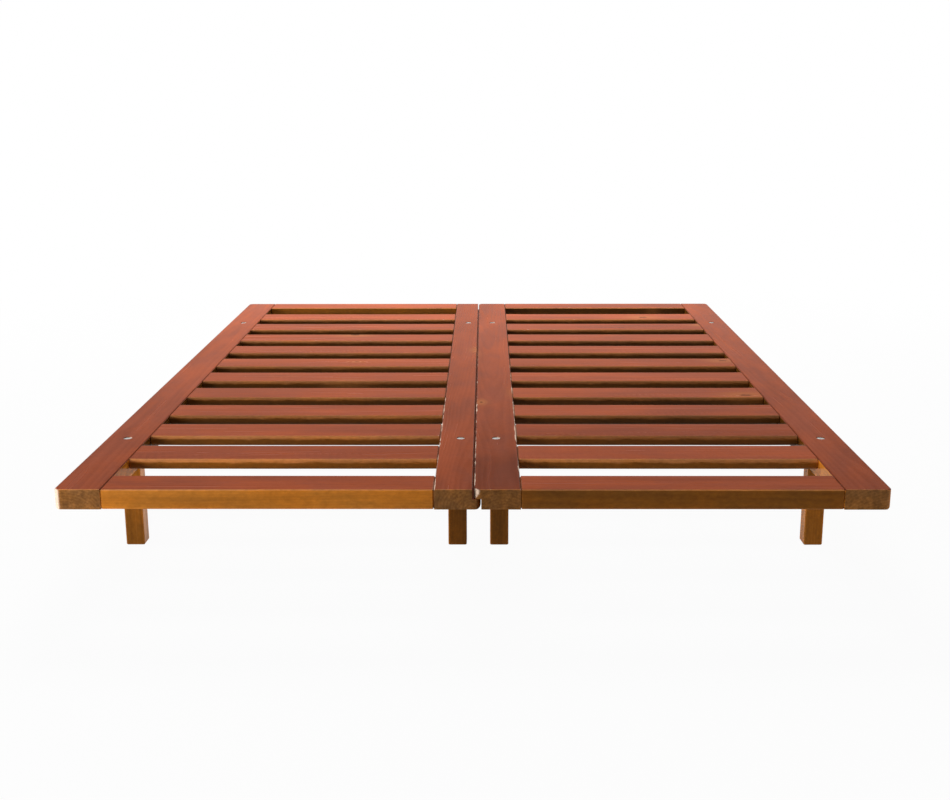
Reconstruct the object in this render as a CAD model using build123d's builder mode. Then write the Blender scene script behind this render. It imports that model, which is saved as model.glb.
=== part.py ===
"""A low slatted bed frame in two free-standing halves that interlock along the middle.

Each half is two long stiles, two end rails and a row of slats, tenoned into the stiles,
on four square legs that are bolted on from above, through the stiles. Along the middle the left
half carries a lower lip and the right half an upper lip, and the two lap each other.
+X runs across the bed to the right, +Y to its far end and +Z up. The origin is on the
floor, under the middle of the bed.
"""

import os
from math import copysign

from build123d import *

os.makedirs("parts", exist_ok=True)

# Overall sizes
bed_width = 1506.0
bed_length = 2000.0
leg_length = 187.5

# Boards
board_thickness = 37.5
stile_width = 84.5
rail_width = 86.0
slat_width = 102.0
slat_thickness = 21.0
slat_count = 10
end_gap = 106.0

# Meeting edge: the left half's lip runs under the right half's lip, and the gap between
# their tops lies a little to the right of the middle
meeting_line = 2.5
lip_reach = 15.0
lip_thickness = 18.5
lap_gap = 3.0
lip_end_room = 1.0
lap_clearance = 0.4

# Edges: rounded on top and along the outside underneath, planed off elsewhere
corner_radius = 13.0
arris_radius = 3.0
underside_radius = 8.0
underside_ease = 2.5
slat_edge_radius = 7.0
lip_ease = 0.8

# Tenons, with the room that their mortises leave
rail_tenon_width = 56.0
rail_tenon_thickness = 12.0
rail_tenon_length = 40.0
slat_tenon_width = 82.0
slat_tenon_thickness = 9.0
slat_tenon_length = 24.0
slat_tenon_lift = 3.5
tenon_clearance = 0.2
mortise_end_room = 1.0

# Legs, which stand a little nearer to the middle of their half than the bolts
leg_side = 38.0
leg_from_end = 345.0
leg_inset = 7.0
leg_edge_ease = 2.0
foot_ease = 1.5

# Leg bolts and the threaded inserts that they draw on, which are hexagonal sleeves
bolt_diameter = 8.0
bolt_length = 50.0
head_diameter = 17.0
head_height = 2.8
head_sink = 0.4
socket_width = 5.0
socket_depth = 4.5
insert_diameter = 15.0
insert_length = 20.0
bolt_clearance = 0.3
insert_clearance = 0.1
thread_clearance = 0.1
tip_room = 3.0

# Heights and places that follow from the sizes above
board_bottom = leg_length
board_top = leg_length + board_thickness
board_middle = leg_length + board_thickness / 2
slat_bottom = board_top - slat_thickness
slat_middle = board_top - slat_thickness / 2
slat_tenon_middle = slat_bottom + slat_tenon_lift + slat_tenon_thickness / 2

left_edge = -bed_width / 2
right_edge = bed_width / 2
left_top_edge = meeting_line - lap_gap / 2
right_top_edge = meeting_line + lap_gap / 2
left_lip_edge = left_top_edge + lip_reach
right_lower_edge = left_lip_edge + lip_end_room

left_panel = (left_edge + stile_width, left_lip_edge - stile_width)
right_panel = (right_top_edge + stile_width, right_edge - stile_width)

rail_y = bed_length / 2 - rail_width / 2
slat_run = bed_length - 2 * (rail_width + end_gap) - slat_width
slat_pitch = slat_run / (slat_count - 1)
slat_rows = [slat_run / 2 - number * slat_pitch for number in range(slat_count)]

leg_y = bed_length / 2 - leg_from_end
leg_rows = {"front": -leg_y, "back": leg_y}
left_bolts = {"outer": left_edge + stile_width / 2, "inner": left_lip_edge - stile_width / 2}
right_bolts = {"inner": right_top_edge + stile_width / 2, "outer": right_edge - stile_width / 2}

head_seat = board_top - head_sink - head_height
insert_depth = max(insert_length, bolt_length - (head_seat - leg_length)) + tip_room


def write(piece, node):
    """Label a finished piece and write it under its node's name."""
    piece.part.label = node
    export_step(piece.part, f"parts/{node}.step")


def make_stile(node, inner_edge, outer_edge, bolt_x, rabbet=None):
    """A long side board, mortised along its inner edge for the rails and the slats.

    The rabbet, on a meeting stile, is the span across the bed and the span in height
    that is cut away along the whole length.
    """
    inward = 1 if outer_edge > inner_edge else -1
    outer_side = -1 if inward > 0 else 0
    inner_side = 0 if inward > 0 else -1
    middle = (inner_edge + outer_edge) / 2
    mortise_plane = Plane((inner_edge, 0, 0), x_dir=(0, inward, 0), z_dir=(inward, 0, 0))
    with BuildPart() as stile:
        with BuildSketch(Plane.XY.offset(board_bottom)) as outline:
            with Locations((middle, 0)):
                Rectangle(stile_width, bed_length)
            fillet(outline.vertices().group_by(Axis.X)[outer_side], corner_radius)
        extrude(amount=board_thickness)
        with BuildSketch(Plane.XZ.offset(-bed_length / 2)) as section:
            with Locations((middle, board_middle)):
                Rectangle(stile_width, board_thickness)
            low_corners = section.vertices().group_by(Axis.Y)[0].sort_by(Axis.X)
            fillet(low_corners[outer_side], underside_radius)
            chamfer(low_corners[inner_side], underside_ease)
        extrude(amount=bed_length, mode=Mode.INTERSECT)
        fillet(stile.faces().sort_by(Axis.Z)[-1].edges(), arris_radius)
        # Mortises for the end rails
        with BuildSketch(mortise_plane):
            with Locations((-rail_y, board_middle), (rail_y, board_middle)):
                Rectangle(
                    rail_tenon_width + 2 * tenon_clearance,
                    rail_tenon_thickness + 2 * tenon_clearance,
                )
        extrude(amount=rail_tenon_length + mortise_end_room, mode=Mode.SUBTRACT)
        # Mortises for the slats
        with BuildSketch(mortise_plane):
            with Locations(*[(row, slat_tenon_middle) for row in slat_rows]):
                Rectangle(
                    slat_tenon_width + 2 * tenon_clearance,
                    slat_tenon_thickness + 2 * tenon_clearance,
                )
        extrude(amount=slat_tenon_length + mortise_end_room, mode=Mode.SUBTRACT)
        if rabbet:
            across, height = rabbet
            with BuildSketch(Plane.XZ.offset(-bed_length / 2)):
                with Locations(((across[0] + across[1]) / 2, (height[0] + height[1]) / 2)):
                    Rectangle(across[1] - across[0], height[1] - height[0])
            extrude(amount=bed_length, mode=Mode.SUBTRACT)
            # Ease the two sharp edges that the cut leaves
            for x, z in ((across[0], height[1]), (across[1], height[0])):
                sharp_edge = stile.edges().filter_by(Axis.Y)
                sharp_edge = sharp_edge.filter_by_position(Axis.X, x - lip_ease, x + lip_ease)
                sharp_edge = sharp_edge.filter_by_position(Axis.Z, z - lip_ease, z + lip_ease)
                chamfer(sharp_edge, lip_ease)
        with Locations(*[(bolt_x, row, board_top) for row in leg_rows.values()]):
            CounterBoreHole(
                radius=bolt_diameter / 2 + bolt_clearance,
                counter_bore_radius=head_diameter / 2 + bolt_clearance,
                counter_bore_depth=board_top - head_seat,
            )
    write(stile, node)


def make_cross_board(node, panel, y, section, tenon, middle, tenon_middle, edge_radius):
    """A rail or a slat: a board between two stiles with a stub tenon on each end."""
    width, thickness = section
    tenon_width, tenon_thickness, tenon_length = tenon
    left_end, right_end = panel
    with BuildPart() as board:
        with BuildSketch(Plane.YZ.offset(left_end)) as profile:
            with Locations((y, middle)):
                Rectangle(width, thickness)
            corners = profile.vertices().group_by(Axis.Y)
            fillet(corners[-1], edge_radius)
            chamfer(corners[0], underside_ease)
        extrude(amount=right_end - left_end)
        with BuildSketch(Plane.YZ.offset(left_end - tenon_length)):
            with Locations((y, tenon_middle)):
                Rectangle(tenon_width, tenon_thickness)
        extrude(amount=right_end - left_end + 2 * tenon_length)
    write(board, node)


def make_leg(node, x, y, bolt_x):
    """A square leg with a pocket in its top end for the threaded insert, under the bolt."""
    with BuildPart() as leg:
        with BuildSketch():
            with Locations((x, y)):
                Rectangle(leg_side, leg_side)
        extrude(amount=leg_length)
        chamfer(leg.edges().filter_by(Axis.Z), leg_edge_ease)
        chamfer(leg.faces().sort_by(Axis.Z)[0].edges(), foot_ease)
        with Locations((bolt_x, y, leg_length)):
            Hole(radius=insert_diameter / 2 + insert_clearance, depth=insert_depth)
    write(leg, node)


def place_four(node, piece, height, columns):
    """Four of the same fitting, one over each leg of a half."""
    with BuildPart() as group:
        with Locations(*[(x, y, height) for x in columns.values() for y in leg_rows.values()]):
            add(piece.part)
    write(group, node)


# One leg bolt, with the underside of its head at the origin
with BuildPart() as leg_bolt:
    with BuildSketch(Plane.XZ):
        with BuildLine():
            Polyline(
                (0, head_height),
                (0, -bolt_length),
                (bolt_diameter / 2, -bolt_length),
                (bolt_diameter / 2, 0),
                (head_diameter / 2, 0),
                (head_diameter / 2, head_height),
                close=True,
            )
        make_face()
    revolve(axis=Axis.Z)
    with BuildSketch(Plane.XY.offset(head_height)):
        RegularPolygon(radius=socket_width / 2, side_count=6, major_radius=False)
    extrude(amount=-socket_depth, mode=Mode.SUBTRACT)

# One threaded insert, with its top face at the origin
with BuildPart() as leg_insert:
    with BuildSketch():
        RegularPolygon(radius=insert_diameter / 2, side_count=6)
        Circle(bolt_diameter / 2 + thread_clearance, mode=Mode.SUBTRACT)
    extrude(amount=-insert_length)

# The rabbets that leave a lip on each meeting stile
left_rabbet = (
    (left_top_edge, left_lip_edge),
    (board_bottom + lip_thickness, board_top),
)
right_rabbet = (
    (right_top_edge, right_lower_edge),
    (board_bottom, board_bottom + lip_thickness + lap_clearance),
)

make_stile("left_outer_stile", left_panel[0], left_edge, left_bolts["outer"])
make_stile("left_meeting_stile", left_panel[1], left_lip_edge, left_bolts["inner"], left_rabbet)
make_stile("right_meeting_stile", right_panel[0], right_top_edge, right_bolts["inner"], right_rabbet)
make_stile("right_outer_stile", right_panel[1], right_edge, right_bolts["outer"])

rail_section = (rail_width, board_thickness)
rail_tenon = (rail_tenon_width, rail_tenon_thickness, rail_tenon_length)
slat_section = (slat_width, slat_thickness)
slat_tenon = (slat_tenon_width, slat_tenon_thickness, slat_tenon_length)

for half, panel, bolts in (("left", left_panel, left_bolts), ("right", right_panel, right_bolts)):
    half_middle = (panel[0] + panel[1]) / 2
    for end, y in (("front", -rail_y), ("back", rail_y)):
        make_cross_board(
            f"{half}_{end}_rail", panel, y, rail_section, rail_tenon,
            board_middle, board_middle, arris_radius,
        )
    for number, y in enumerate(slat_rows, start=1):
        make_cross_board(
            f"{half}_slat_{number:02d}", panel, y, slat_section, slat_tenon,
            slat_middle, slat_tenon_middle, slat_edge_radius,
        )
    for side, bolt_x in bolts.items():
        leg_x = bolt_x + copysign(leg_inset, half_middle - bolt_x)
        for end, y in leg_rows.items():
            make_leg(f"{half}_{end}_{side}_leg", leg_x, y, bolt_x)
    place_four(f"{half}_leg_bolts", leg_bolt, head_seat, bolts)
    place_four(f"{half}_leg_inserts", leg_insert, leg_length, bolts)
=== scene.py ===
"""Finish and fine detail of a low slatted bed frame in two halves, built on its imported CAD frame.

The stiles, legs and inserts keep their CAD shape and get a stained timber or a plated steel.
The slats, the end rails and the leg bolts repeat, so Geometry Nodes make them, with the eased
shoulders and the crowned heads that the CAD leaves plain. Lengths are in metres, in the CAD's
own frame: X runs across the bed to the right, Y to its far end and Z up.
"""

import math
from typing import NamedTuple

import bpy
from bpy.props import FloatProperty, FloatVectorProperty, IntProperty, PointerProperty
from mathutils import Matrix, Vector


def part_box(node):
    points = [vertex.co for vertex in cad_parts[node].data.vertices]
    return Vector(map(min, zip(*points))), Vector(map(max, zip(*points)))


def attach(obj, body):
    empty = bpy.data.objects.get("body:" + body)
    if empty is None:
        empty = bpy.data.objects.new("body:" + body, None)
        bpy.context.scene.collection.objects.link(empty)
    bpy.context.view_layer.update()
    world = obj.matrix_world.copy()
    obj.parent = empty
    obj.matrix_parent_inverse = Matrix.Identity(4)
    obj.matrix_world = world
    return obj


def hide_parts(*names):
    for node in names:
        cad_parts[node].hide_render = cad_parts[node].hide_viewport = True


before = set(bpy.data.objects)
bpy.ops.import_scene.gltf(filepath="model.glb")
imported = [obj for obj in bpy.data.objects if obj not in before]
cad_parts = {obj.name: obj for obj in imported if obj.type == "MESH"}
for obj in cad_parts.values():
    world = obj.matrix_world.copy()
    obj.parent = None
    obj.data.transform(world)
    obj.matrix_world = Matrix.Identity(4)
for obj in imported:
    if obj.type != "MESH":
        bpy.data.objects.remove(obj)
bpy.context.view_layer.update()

bl_info = {
    "name": "Slatted bed frame",
    "version": (1, 0, 0),
    "blender": (4, 5, 0),
    "location": "3D View > Sidebar > Bed Frame",
    "description": "Stained timber, slats, bolts and a plain stage for a slatted bed frame",
    "category": "Object",
}

HALVES = ("left", "right")
ENDS = ("front", "back")
SLATS_PER_HALF = sum(name.startswith("left_slat_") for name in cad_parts)


class Grain(NamedTuple):
    """A way for a board's grain to run, the turn that lays X along it, and the board's axes in that order."""

    direction: tuple
    turn: tuple
    order: str


ACROSS = Grain((1, 0, 0), (0, 0, 0), "xyz")
ALONG = Grain((0, 1, 0), (0, 0, math.pi / 2), "yxz")
UPRIGHT = Grain((0, 0, 1), (0, -math.pi / 2, 0), "zyx")

# The seeds of the boards run from nought to this
SEED_RANGE = 10.0

# Heights that lie well over and under any board, as parts of its half thickness
ABOVE_BOARD = 9.0
BELOW_BOARD = -2.0

# Painted light on the left and the right flank of a plain board: how much lighter these are than its other
# sides
PLAIN_FLANK_LIGHT = (1.25, 1.25)

# Gloss of the stain, and the depth of the grain that shows in it
STAIN_IOR = 1.45
STAIN_SPECULAR = 0.12
GRAIN_BUMP = {"Strength": 0.08, "Distance": 0.0003}


def colour(name, description, default):
    """A colour that a user may change."""
    return FloatVectorProperty(
        name=name, description=description, default=default, subtype="COLOR", size=3, min=0, max=1
    )


def length(name, description, default):
    """A length that a user may change, in metres."""
    return FloatProperty(name=name, description=description, default=default, unit="LENGTH", min=0)


def share(name, description, default):
    """A part of one that a user may change."""
    return FloatProperty(name=name, description=description, default=default, subtype="FACTOR", min=0, max=1)


def power(name, default):
    """The power of a lamp, in watts."""
    description = f"Power of the {name.lower()}"
    return FloatProperty(name=name, description=description, default=default, unit="POWER", min=0)


class BedTimberSettings(bpy.types.PropertyGroup):
    """Colours and figure of the stained softwood."""

    # The top and side stains are one stain drawn twice as lit: redder on the faces that look up and more
    # golden on the sides, a painted difference of light
    top_stain_as_lit: colour("Top stain", "Red-brown coat on the faces that look up", (0.300, 0.068, 0.026))
    side_stain_as_lit: colour("Side stain", "Golden brown coat on the edges and legs", (0.275, 0.096, 0.011))
    end_stain: colour("End grain", "Greyer coat on the sawn ends", (0.250, 0.107, 0.030))
    late_wood: colour("Late wood", "Tint of the dark part of each growth ring", (0.62, 0.50, 0.42))
    # Partly painted light: the up-tilted rounded edges and the upper part of the slats' long edges take this
    # lighter coat, for a thin stain there and for the light from above on them
    thin_stain_and_light: colour("Thin stain", "Golden coat on the rounded upper edges", (0.560, 0.215, 0.064))
    knot_wood: colour("Knots", "Tint of the knots", (0.30, 0.22, 0.16))
    knot_glow: colour("Round the knots", "Golden wood that shows round the knots", (0.46, 0.17, 0.045))
    # Also painted glare: a very light flank turns towards this colour as a painted reflection, and the pale
    # front left corner holds it as wear with a painted highlight
    bare_wood_and_glare: colour("Bare wood", "Pale wood where the stain has gone", (0.80, 0.60, 0.46))
    warm_patch: colour("Warm patches", "Tint of the patches that took the stain thinly", (1.00, 0.95, 0.84))
    cool_patch: colour("Cool patches", "Tint of the patches that took the stain deeply", (0.88, 0.90, 1.00))
    ring_spacing: length("Ring spacing", "Thickness of one growth ring", 0.0052)
    arris_reach: length("Arris wear", "How far the wear reaches on a well worn edge", 0.0026)
    edge_reach: length("Thin edges", "How far the coat is thin beside an edge", 0.0045)
    edge_gain: share("Thin coat", "How much lighter the thin coat on the edges is", 0.40)
    figure: share("Figure", "Strength of the growth rings", 0.14)
    tone_spread: share("Board tones", "How much one board differs from the next", 0.22)


class BedSlatSettings(bpy.types.PropertyGroup):
    """Shape of the slats, which follow the CAD in every outer size."""

    edge_radius: length("Edge radius", "Rounding of the long edges", 0.007)
    end_ease: length("End ease", "Easing of the edges at the shoulders", 0.0018)
    waviness: length("Waviness", "How far planed faces and edges stray from true", 0.0005)
    tenon_width: length("Tenon width", "Width of the tenon on each end", 0.082)
    tenon_thickness: length("Tenon thickness", "Thickness of the tenon on each end", 0.009)
    tenon_drop: length("Tenon drop", "How far the tenon lies under the middle of the slat", 0.0025)
    seed: IntProperty(name="Seed", description="Changes the figure of every slat", default=4, min=0)


class BedRailSettings(bpy.types.PropertyGroup):
    """Shape of the end rails, which follow the CAD in every outer size."""

    edge_radius: length("Edge radius", "Rounding of the long edges", 0.003)
    end_ease: length("End ease", "Easing of the edges at the shoulders", 0.0022)
    waviness: length("Waviness", "How far planed faces and edges stray from true", 0.0)
    tenon_width: length("Tenon width", "Width of the tenon on each end", 0.056)
    tenon_thickness: length("Tenon thickness", "Thickness of the tenon on each end", 0.012)
    tenon_drop: length("Tenon drop", "How far the tenon lies under the middle of the rail", 0.0)


class BedBoltSettings(bpy.types.PropertyGroup):
    """Shape of the leg bolts."""

    head_diameter: length("Head diameter", "Diameter of the head", 0.017)
    head_height: length("Head height", "Height of the head over its seat", 0.0028)
    rim_height: length("Rim height", "Straight part of the head", 0.0019)
    shank_diameter: length("Shank diameter", "Diameter of the thread", 0.008)
    socket_width: length("Socket width", "Hexagon socket across the flats", 0.005)
    socket_depth: length("Socket depth", "Depth of the hexagon socket", 0.0022)
    seed: IntProperty(name="Seed", description="Changes how far each bolt is turned", default=2, min=0)
    plate: colour("Plate", "Colour of the bright plate", (0.90, 0.89, 0.88))
    haze: colour("Haze", "Colour of the plate where it is hazy", (0.72, 0.71, 0.70))
    roughness: share("Roughness", "Roughness of the clear plate", 0.34)


class BedInsertSettings(bpy.types.PropertyGroup):
    """Finish of the threaded inserts."""

    plate: colour("Plate", "Colour of the dull zinc", (0.60, 0.60, 0.58))
    haze: colour("Haze", "Colour of the zinc where it is hazy", (0.44, 0.44, 0.43))
    roughness: share("Roughness", "Roughness of the clear zinc", 0.32)


class BedStageSettings(bpy.types.PropertyGroup):
    """Floor, lamps and camera."""

    floor_size: length("Floor size", "Side of the floor", 14.0)
    floor_colour: colour("Floor", "Colour of the floor", (0.42, 0.42, 0.42))
    shadow: share("Shadow", "How much of the shadow the camera sees on the floor", 0.04)
    fill: FloatProperty(
        name="Fill", description="Strength of the even light from all round", default=0.06, min=0
    )
    key: power("Key lamp", 15.0)
    back: power("Back lamp", 222.0)
    left: power("Left lamp", 58.0)
    right: power("Right lamp", 26.0)


class Graph:
    """Builds a node tree: each call adds a node and gives back its output."""

    PER_ROW = 10
    STEP = Vector((200, -320))

    def __init__(self, tree):
        self.tree = tree

    def node(self, kind, inputs=None, **settings):
        """Add a node, with its settings first and then its inputs, by name or by number."""
        row, column = divmod(len(self.tree.nodes), self.PER_ROW)
        made = self.tree.nodes.new(kind)
        made.location = (column * self.STEP.x, row * self.STEP.y)
        for name, value in settings.items():
            setattr(made, name, value)
        for key, value in (inputs or {}).items():
            self.feed(made, key, value)
        return made

    def feed(self, node, key, value):
        """Link or set an input of a node, by number or by the name of an input in use."""
        if isinstance(key, str):
            target = next(socket for socket in node.inputs if socket.enabled and socket.name == key)
        else:
            target = node.inputs[key]
        if isinstance(value, bpy.types.NodeSocket):
            self.tree.links.new(value, target)
        elif value is not None:
            target.default_value = value

    def group(self, tree, inputs):
        """Place a shader node group, and give back all its outputs."""
        return self.node("ShaderNodeGroup", inputs, node_tree=tree).outputs

    def math(self, operation, first, second=None, third=None):
        """One operation on values."""
        return self.node("ShaderNodeMath", {0: first, 1: second, 2: third}, operation=operation).outputs[0]

    def vector(self, operation, first, second=None, output=0):
        """One operation on vectors."""
        made = self.node("ShaderNodeVectorMath", {0: first, 1: second}, operation=operation)
        return made.outputs[output]

    def dot(self, first, second):
        """The dot product of two vectors."""
        return self.vector("DOT_PRODUCT", first, second, output="Value")

    def size(self, vector):
        """The length of a vector."""
        return self.vector("LENGTH", vector, output="Value")

    def stretch(self, vector, factors, shift=(0, 0, 0)):
        """A vector times a factor for each axis, and then shifted."""
        made = self.node("ShaderNodeVectorMath", {0: vector, 1: factors, 2: shift}, operation="MULTIPLY_ADD")
        return made.outputs[0]

    def tint(self, base, level):
        """A colour or a vector times a value."""
        made = self.node("ShaderNodeVectorMath", {0: base, "Scale": level}, operation="SCALE")
        return made.outputs[0]

    def split(self, vector):
        """The three parts of a vector."""
        return self.node("ShaderNodeSeparateXYZ", {0: vector}).outputs

    def join(self, x=0, y=0, z=0):
        """A vector of three parts."""
        return self.node("ShaderNodeCombineXYZ", {0: x, 1: y, 2: z}).outputs[0]

    def span(self, value, low, high, to_low=0, to_high=1, smooth=True):
        """Take a value from one range to another, stopping at its ends."""
        kind = "SMOOTHSTEP" if smooth else "LINEAR"
        inputs = {"Value": value, "From Min": low, "From Max": high, "To Min": to_low, "To Max": to_high}
        return self.node("ShaderNodeMapRange", inputs, interpolation_type=kind).outputs[0]

    def mix(self, factor, first, second, blend_type="MIX"):
        """The first colour with a part of the second over it."""
        inputs = {"Factor": factor, "A": first, "B": second}
        made = self.node("ShaderNodeMix", inputs, data_type="RGBA", blend_type=blend_type)
        return made.outputs[2]

    def noise(self, vector, scale=1.0, detail=2.0, roughness=0.5, output="Fac"):
        """A smooth noise."""
        inputs = {"Vector": vector, "Scale": scale, "Detail": detail, "Roughness": roughness}
        return self.node("ShaderNodeTexNoise", inputs).outputs[output]

    def chance(self, seed, output):
        """A random colour or value that belongs to a seed."""
        return self.node("ShaderNodeTexWhiteNoise", {"W": seed}, noise_dimensions="1D").outputs[output]


def opaque(rgb):
    """A colour with full alpha, as a colour socket wants it."""
    return (*rgb, 1.0)


def sockets(kind, *names):
    """Sockets of one kind for a node group, by name."""
    return dict.fromkeys(names, f"NodeSocket{kind}")


def new_group(name, kind, inputs, outputs):
    """An empty node group, with its input and output nodes."""
    group = bpy.data.node_groups.new(name, kind)
    for socket, socket_type in inputs.items():
        group.interface.new_socket(socket, in_out="INPUT", socket_type=socket_type)
    for socket, socket_type in outputs.items():
        group.interface.new_socket(socket, in_out="OUTPUT", socket_type=socket_type)
    graph = Graph(group)
    return graph, graph.node("NodeGroupInput").outputs, graph.node("NodeGroupOutput").inputs


def finish_group(graph, targets, results):
    """Link the results of a group to its outputs, by name."""
    for name, socket in results.items():
        graph.tree.links.new(socket, targets[name])
    return graph.tree


def shared_group(name, build):
    """A node group that is built the first time that it is asked for."""
    return bpy.data.node_groups.get(name) or build()


# Noises that run with the grain: how often each changes in a metre along and across it, its detail
# and its roughness
GRAIN_NOISES = {
    "Fibres": (9.0, 260.0, 3.0, 0.60),
    "Flecks": (90.0, 170.0, 4.0, 0.65),
    "Streaks": (1.5, 52.0, 3.0, 0.50),
    "Blotches": (3.0, 11.0, 3.0, 0.55),
    "Patches": (8.0, 19.0, 4.0, 0.55),
}

# The range that a noise keeps to over most of a board, and its middle
NOISE_RANGE = (0.25, 0.75)
NOISE_MIDDLE = 0.5


def knot_spots(graph, position, shift):
    """Knots as a few oval spots, each in its own cell of the board, and the glow round them."""
    cells_per_metre = Vector((1.9, 7.0, 0.0))
    slimness = 0.55
    cells_without = 0.62
    radii = (0.0030, 0.0085)
    soft_rim = (0.70, 1.15)
    glow_reach = 3.6

    spread = graph.stretch(position, cells_per_metre, shift)
    inputs = {"Vector": spread, "Scale": 1.0}
    cells = graph.node("ShaderNodeTexVoronoi", inputs, voronoi_dimensions="2D").outputs
    away = graph.vector("SUBTRACT", cells["Position"], spread)
    away = graph.vector("MULTIPLY", away, (slimness / cells_per_metre.x, 1 / cells_per_metre.y, 0.0))
    draw = graph.split(cells["Color"])
    present = graph.math("GREATER_THAN", draw[0], cells_without)
    reach = graph.math("DIVIDE", graph.size(away), graph.span(draw[1], 0, 1, *radii))
    knot = graph.math("MULTIPLY", present, graph.span(reach, *soft_rim, 1, 0))
    fall = graph.math("POWER", graph.math("DIVIDE", reach, glow_reach), 2.0)
    glow = graph.math("EXPONENT", graph.math("MULTIPLY", fall, -1.0))
    return knot, graph.math("MULTIPLY", present, glow)


def late_wood(graph, position, shift, luck, glow, ring_spacing):
    """The dark part of the rings round a pith that lies under the board and strays along it.

    The three draws of luck place the pith across the board, under it and askew. The rings bend
    round the knots, where these glow.
    """
    pith_across = (-0.055, 0.055)
    pith_height = (-0.085, -0.020)
    pith_drift = (-0.03, 0.03)
    drift_upwards = 0.8
    waves_per_metre = (1.3, 6.0, 6.0)
    wave_across, wave_up = 0.030, 0.022
    bend_at_knots = 0.011
    darkening, ending = (0.10, 0.82), (0.86, 1.00)

    waves = graph.noise(graph.stretch(position, waves_per_metre, shift), output="Color")
    waves = graph.split(graph.vector("SUBTRACT", waves, (NOISE_MIDDLE, NOISE_MIDDLE, NOISE_MIDDLE)))
    place = graph.split(position)
    drift = graph.span(luck[2], 0, 1, *pith_drift, smooth=False)
    rise = graph.math("MULTIPLY", drift, drift_upwards)

    across = graph.math("SUBTRACT", place[1], graph.span(luck[0], 0, 1, *pith_across, smooth=False))
    across = graph.math("ADD", across, graph.math("MULTIPLY", place[0], drift))
    across = graph.math("MULTIPLY_ADD", waves[0], wave_across, across)
    above = graph.math("SUBTRACT", place[2], graph.span(luck[1], 0, 1, *pith_height, smooth=False))
    above = graph.math("ADD", above, graph.math("MULTIPLY", place[0], rise))
    above = graph.math("MULTIPLY_ADD", waves[1], wave_up, above)
    from_pith = graph.size(graph.join(0, across, above))
    from_pith = graph.math("MULTIPLY_ADD", glow, bend_at_knots, from_pith)

    ring = graph.math("FRACT", graph.math("DIVIDE", from_pith, ring_spacing))
    return graph.math("MULTIPLY", graph.span(ring, *darkening), graph.span(ring, *ending, 1, 0))


def growth_group():
    """Growth rings, knots and grain of a softwood board, with the grain along X."""
    graph, given, out = new_group(
        "timber_growth", "ShaderNodeTree",
        {**sockets("Vector", "Position"), **sockets("Float", "Seed", "Ring Spacing")},
        sockets("Float", "Rings", "Knot", "Glow", *GRAIN_NOISES),
    )
    farthest_shift = (53.0, 31.0, 17.0)

    position = given["Position"]
    luck = graph.chance(given["Seed"], "Color")
    shift = graph.vector("MULTIPLY", luck, farthest_shift)
    knot, glow = knot_spots(graph, position, shift)
    rings = late_wood(graph, position, shift, graph.split(luck), glow, given["Ring Spacing"])
    growth = {"Rings": rings, "Knot": knot, "Glow": glow}
    for name, (along, across, detail, roughness) in GRAIN_NOISES.items():
        stretched = graph.stretch(position, (along, across, across), shift)
        growth[name] = graph.noise(stretched, detail=detail, roughness=roughness)
    return finish_group(graph, out, growth)


def wear_group():
    """Where a board has lost the coat of its long edges, and where it has it thin beside any edge."""
    graph, given, out = new_group(
        "arris_wear", "ShaderNodeTree",
        {
            **sockets("Vector", "Position", "Half Size"),
            **sockets("Float", "Wear Reach", "Edge Reach", "Seed"),
        },
        sockets("Float", "Wear", "Edge"),
    )
    nicks_per_metre, nick_detail = 32.0, 5.0
    nick_noise, nick_wear = (0.35, 0.70), (-0.20, 0.45)
    stretches_per_metre, stretch_detail = 7.0, 1.0
    stretch_noise, stretch_wear = (0.38, 0.62), (-0.30, 0.25)
    spared_towards_back = (-0.6, 0.5)
    soft_rim = 0.55

    # Depths are negative inside the board: on a face the highest is nought, and the middle one
    # is the way to the nearest edge with its sign turned
    inside = graph.vector("SUBTRACT", graph.vector("ABSOLUTE", given["Position"]), given["Half Size"])
    depth = graph.split(inside)
    highest = graph.math("MAXIMUM", graph.math("MAXIMUM", depth[0], depth[1]), depth[2])
    lowest = graph.math("MINIMUM", graph.math("MINIMUM", depth[0], depth[1]), depth[2])
    middle = graph.math("SUBTRACT", graph.dot(inside, (1, 1, 1)), highest)
    middle = graph.math("SUBTRACT", middle, lowest)
    edge = graph.span(graph.math("MULTIPLY", middle, -1.0), 0.0, given["Edge Reach"], 1, 0)

    from_long_edge = graph.math("MULTIPLY", graph.math("MINIMUM", depth[1], depth[2]), -1.0)
    steps = graph.math("DIVIDE", from_long_edge, given["Wear Reach"])
    seeded = graph.join(given["Seed"], given["Seed"], given["Seed"])
    place = graph.vector("ADD", given["Position"], seeded)
    nicks = graph.noise(place, scale=nicks_per_metre, detail=nick_detail)
    nicks = graph.span(nicks, *nick_noise, *nick_wear)
    stretches = graph.noise(place, scale=stretches_per_metre, detail=stretch_detail)
    stretches = graph.span(stretches, *stretch_noise, *stretch_wear)
    spared = graph.span(graph.split(given["Position"])[0], *spared_towards_back)
    reach = graph.math("SUBTRACT", graph.math("ADD", nicks, stretches), spared)
    wear = graph.span(graph.math("SUBTRACT", steps, reach), 0.0, soft_rim, 1, 0)
    return finish_group(graph, out, {"Wear": wear, "Edge": edge})


STAIN_INPUTS = {
    **sockets("Vector", "Position", "Normal", "Grain", "Half Size"),
    **sockets("Float", "Seed", "Top Tone", "Side Tone", "Thin Tone"),
    **sockets("Float", "Left Flank", "Right Flank", "Left Depth", "Right Depth"),
    **sockets("Float", "Thin From", "Wear Reach", "Bare Corner", "Corner Foot", "Dark End"),
}


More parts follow.
